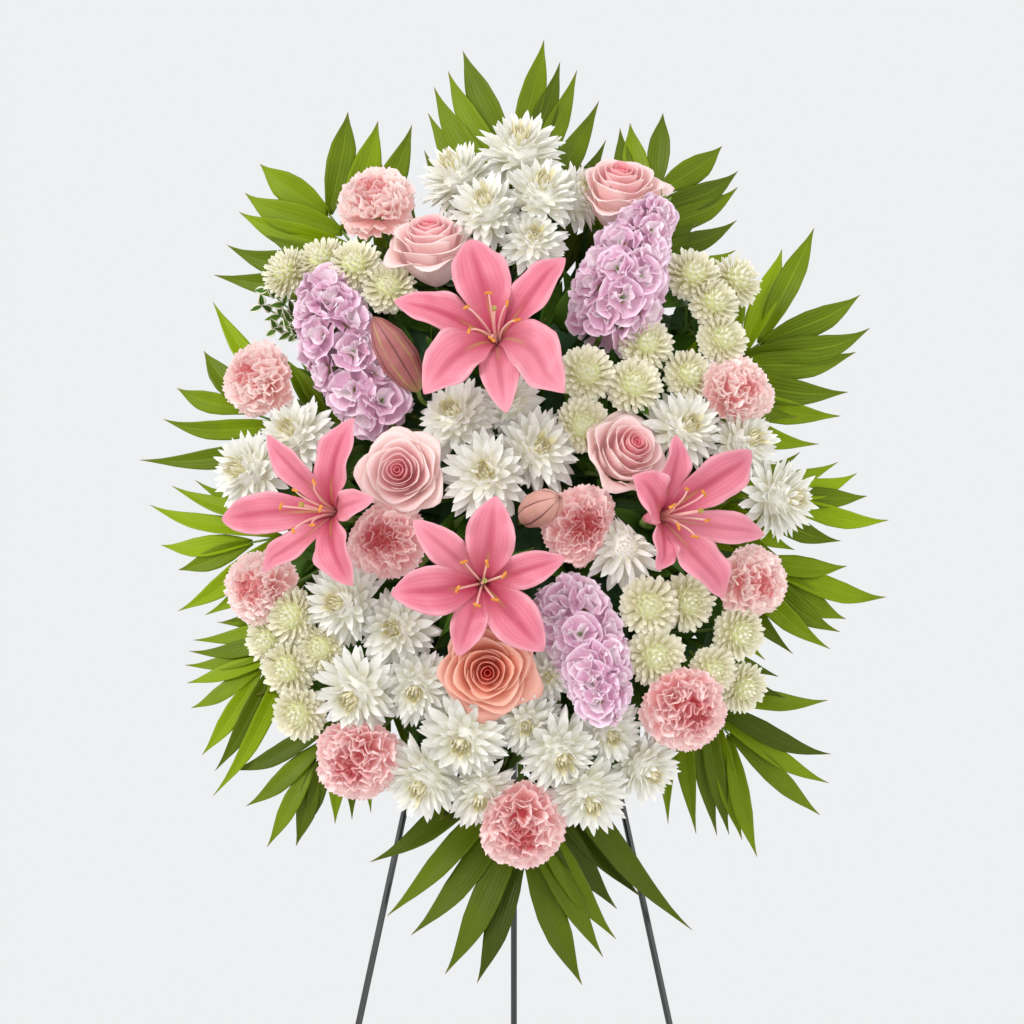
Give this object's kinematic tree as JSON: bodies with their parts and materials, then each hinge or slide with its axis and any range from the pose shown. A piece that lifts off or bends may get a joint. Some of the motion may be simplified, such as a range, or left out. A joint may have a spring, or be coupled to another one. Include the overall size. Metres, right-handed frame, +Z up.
{
  "type": "standing funeral spray",
  "caption": "Oval funeral spray of lilies, roses, carnations, stock, chrysanthemums and palm fronds in a foam tray on a folding wire easel.",
  "frame": {"origin": "middle of the underside of the object's box, on the floor between the easel's feet", "axes": "+Z up, -Y towards the viewer of the flowers, +X to that viewer's right"},
  "size_m": [0.7052, 0.6822, 1.6499],
  "materials": {
    "black_enamel": "gloss",
    "tray_plastic": "satin",
    "wet_foam": "matte",
    "palm_green": "satin",
    "filler_green": "satin",
    "lily_pink": "satin",
    "bud_rose": "satin",
    "rose_blush": "satin",
    "rose_peach": "satin",
    "carnation_pink": "matte",
    "mum_white": "matte",
    "pom_cream": "matte",
    "stock_lilac": "matte"
  },
  "bodies": {
    "spray": {"carnation_bottom": "carnation_pink", "carnation_bottom_left": "carnation_pink", "carnation_bottom_right": "carnation_pink", "carnation_centre": "carnation_pink", "carnation_left": "carnation_pink", "carnation_left_low": "carnation_pink", "carnation_middle": "carnation_pink", "carnation_right": "carnation_pink", "carnation_right_low": "carnation_pink", "carnation_top_left": "carnation_pink", "cream_poms_low_left": "pom_cream", "cream_poms_low_right": "pom_cream", "cream_poms_middle": "pom_cream", "cream_poms_top_left": "pom_cream", "cream_poms_top_right": "pom_cream", "filler_left": "filler_green", "filler_left_high": "filler_green", "filler_right": "filler_green", "foam_block": "wet_foam", "foam_tray": "tray_plastic", "frond_10_oclock": "palm_green", "frond_11_oclock": "palm_green", "frond_12_oclock": "palm_green", "frond_1_oclock": "palm_green", "frond_2_oclock": "palm_green", "frond_3_oclock": "palm_green", "frond_4_oclock": "palm_green", "frond_5_oclock": "palm_green", "frond_6_oclock": "palm_green", "frond_7_oclock": "palm_green", "frond_8_oclock": "palm_green", "frond_9_oclock": "palm_green", "front_leg_left": "black_enamel", "front_leg_right": "black_enamel", "hinge_wire": "black_enamel", "lily_bud_large": "bud_rose", "lily_bud_small": "bud_rose", "lily_left": "lily_pink", "lily_low": "lily_pink", "lily_right": "lily_pink", "lily_top": "lily_pink", "lower_rail": "black_enamel", "rose_middle": "rose_blush", "rose_peach": "rose_peach", "rose_right": "rose_blush", "rose_top_left": "rose_blush", "rose_top_right": "rose_blush", "stock_left": "stock_lilac", "stock_low": "stock_lilac", "stock_right": "stock_lilac", "stop_wire": "black_enamel", "white_mum_daisy": "mum_white", "white_mums_bottom_left": "mum_white", "white_mums_bottom_right": "mum_white", "white_mums_left": "mum_white", "white_mums_low_left": "mum_white", "white_mums_middle": "mum_white", "white_mums_right": "mum_white", "white_mums_top": "mum_white"},
    "rear_leg": {"rear_leg": "black_enamel"}
  },
  "joints": [
    {"name": "rear_leg_fold", "type": "hinge", "parent": "spray", "child": "rear_leg", "pos_m": [0.00083, -0.06212, 1.3079], "axis": [1, 0, 0], "range_deg": [-27, 0]}
  ]
}
